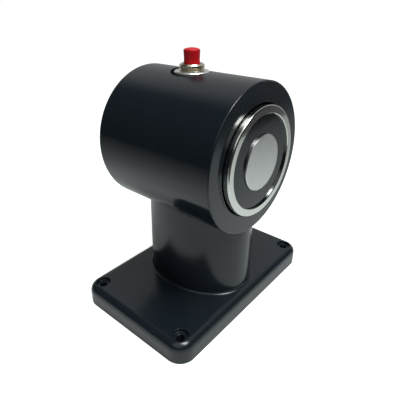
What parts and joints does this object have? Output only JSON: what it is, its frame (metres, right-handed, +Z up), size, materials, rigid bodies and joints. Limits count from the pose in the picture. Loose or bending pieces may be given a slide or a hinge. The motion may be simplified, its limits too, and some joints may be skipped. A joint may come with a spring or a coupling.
{
  "type": "electromagnetic door holder",
  "caption": "Electromagnetic door holder: a holding magnet in a barrel on an oval column and a screw-down base plate, with a red test button on top.",
  "frame": {"origin": "centre of the base plate's underside, which is also the centre of its four fixing holes", "axes": "+Z up along the column, -Y out of the magnet's face towards the door, X along the base plate's long side"},
  "size_m": [0.1116, 0.0735, 0.1304],
  "materials": {
    "housing_paint": "smooth satin gloss",
    "pot_chrome": "turned and chromed",
    "core_steel": "fine turned",
    "potting_resin": "poured, satin",
    "bobbin_nylon": "moulded",
    "winding_copper": "enamelled wire",
    "cap_red": "moulded gloss",
    "button_nickel": "nickel plated",
    "stem_steel": "drawn rod",
    "spring_steel": "drawn wire",
    "switch_resin": "moulded phenolic",
    "contact_brass": "stamped, silvered contacts",
    "zinc_steel": "zinc plated",
    "cover_steel": "zinc plated sheet",
    "block_nylon": "moulded",
    "grommet_rubber": "moulded",
    "lead_red": "insulated wire",
    "lead_black": "insulated wire"
  },
  "bodies": {
    "holder": {"housing": "housing_paint", "magnet_pot": "pot_chrome", "pole_core": "core_steel", "coil_bobbin": "bobbin_nylon", "coil_winding": "winding_copper", "potting_ring": "potting_resin", "magnet_bolt": "zinc_steel", "magnet_spring_washer": "zinc_steel", "button_spring": "spring_steel", "button_bushing": "button_nickel", "panel_nut": "button_nickel", "button_washer": "zinc_steel", "switch_body": "switch_resin", "switch_base": "switch_resin", "switch_terminals": "contact_brass", "coil_to_switch_lead": "lead_red", "coil_to_block_lead": "lead_black", "switch_to_block_lead": "lead_red", "terminal_block": "block_nylon", "terminal_clamps": "contact_brass", "terminal_screws": "zinc_steel", "block_screw": "zinc_steel", "bottom_cover": "cover_steel", "cover_screws": "zinc_steel", "cable_grommet": "grommet_rubber"},
    "button": {"button_cap": "cap_red", "button_plunger": "stem_steel", "contact_bridge": "contact_brass"}
  },
  "joints": [
    {"name": "button_press", "type": "slide", "parent": "holder", "child": "button", "axis": [0, 0, -1], "range_m": [0, 0.002], "stiffness_N_per_m": 600, "springref_m": -0.003, "deforming": ["button_spring"]}
  ]
}
